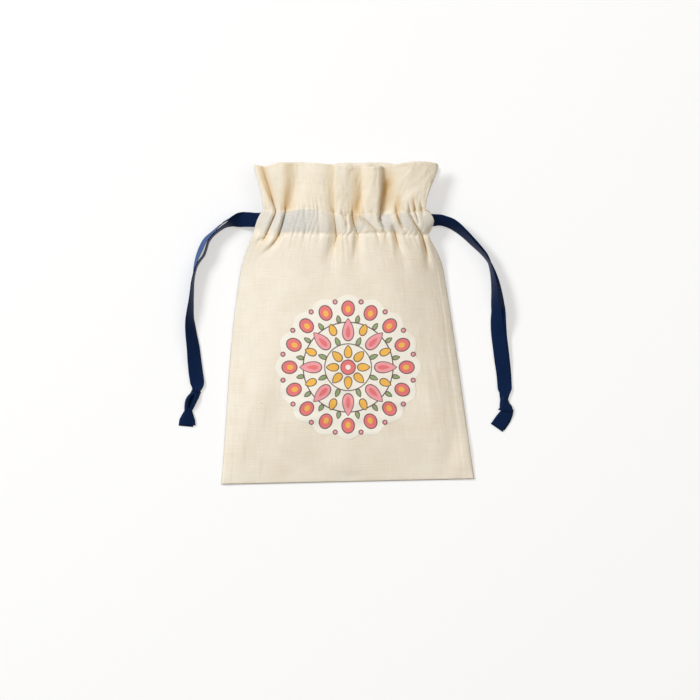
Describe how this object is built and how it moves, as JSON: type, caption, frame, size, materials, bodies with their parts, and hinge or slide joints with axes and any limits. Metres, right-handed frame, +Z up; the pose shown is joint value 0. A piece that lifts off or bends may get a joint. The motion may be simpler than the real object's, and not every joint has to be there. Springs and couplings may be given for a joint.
{
  "type": "drawstring pouch",
  "caption": "Small gathered cotton drawstring pouch lying flat, with a frilled top, a stitched casing, knotted satin ribbons at both sides and a round print on its front.",
  "frame": {"origin": "on the surface that the pouch lies on, under the middle of its cloth", "axes": "+X across the pouch to its right, +Y from the bottom fold to the frill, +Z up out of the printed front"},
  "size_m": [0.234, 0.23, 0.0199],
  "materials": {
    "cotton": "matte plain weave",
    "satin_ribbon": "satin weave",
    "transfer_film": "printed matte film"
  },
  "bodies": {
    "root": {"pouch_cloth": "cotton", "print_transfer": "transfer_film", "left_ribbon_casing_run": "satin_ribbon", "left_ribbon_front_end": "satin_ribbon", "left_ribbon_back_end": "satin_ribbon", "left_ribbon_knot": "satin_ribbon", "right_ribbon_casing_run": "satin_ribbon", "right_ribbon_front_end": "satin_ribbon", "right_ribbon_back_end": "satin_ribbon", "right_ribbon_knot": "satin_ribbon"}
  },
  "joints": []
}
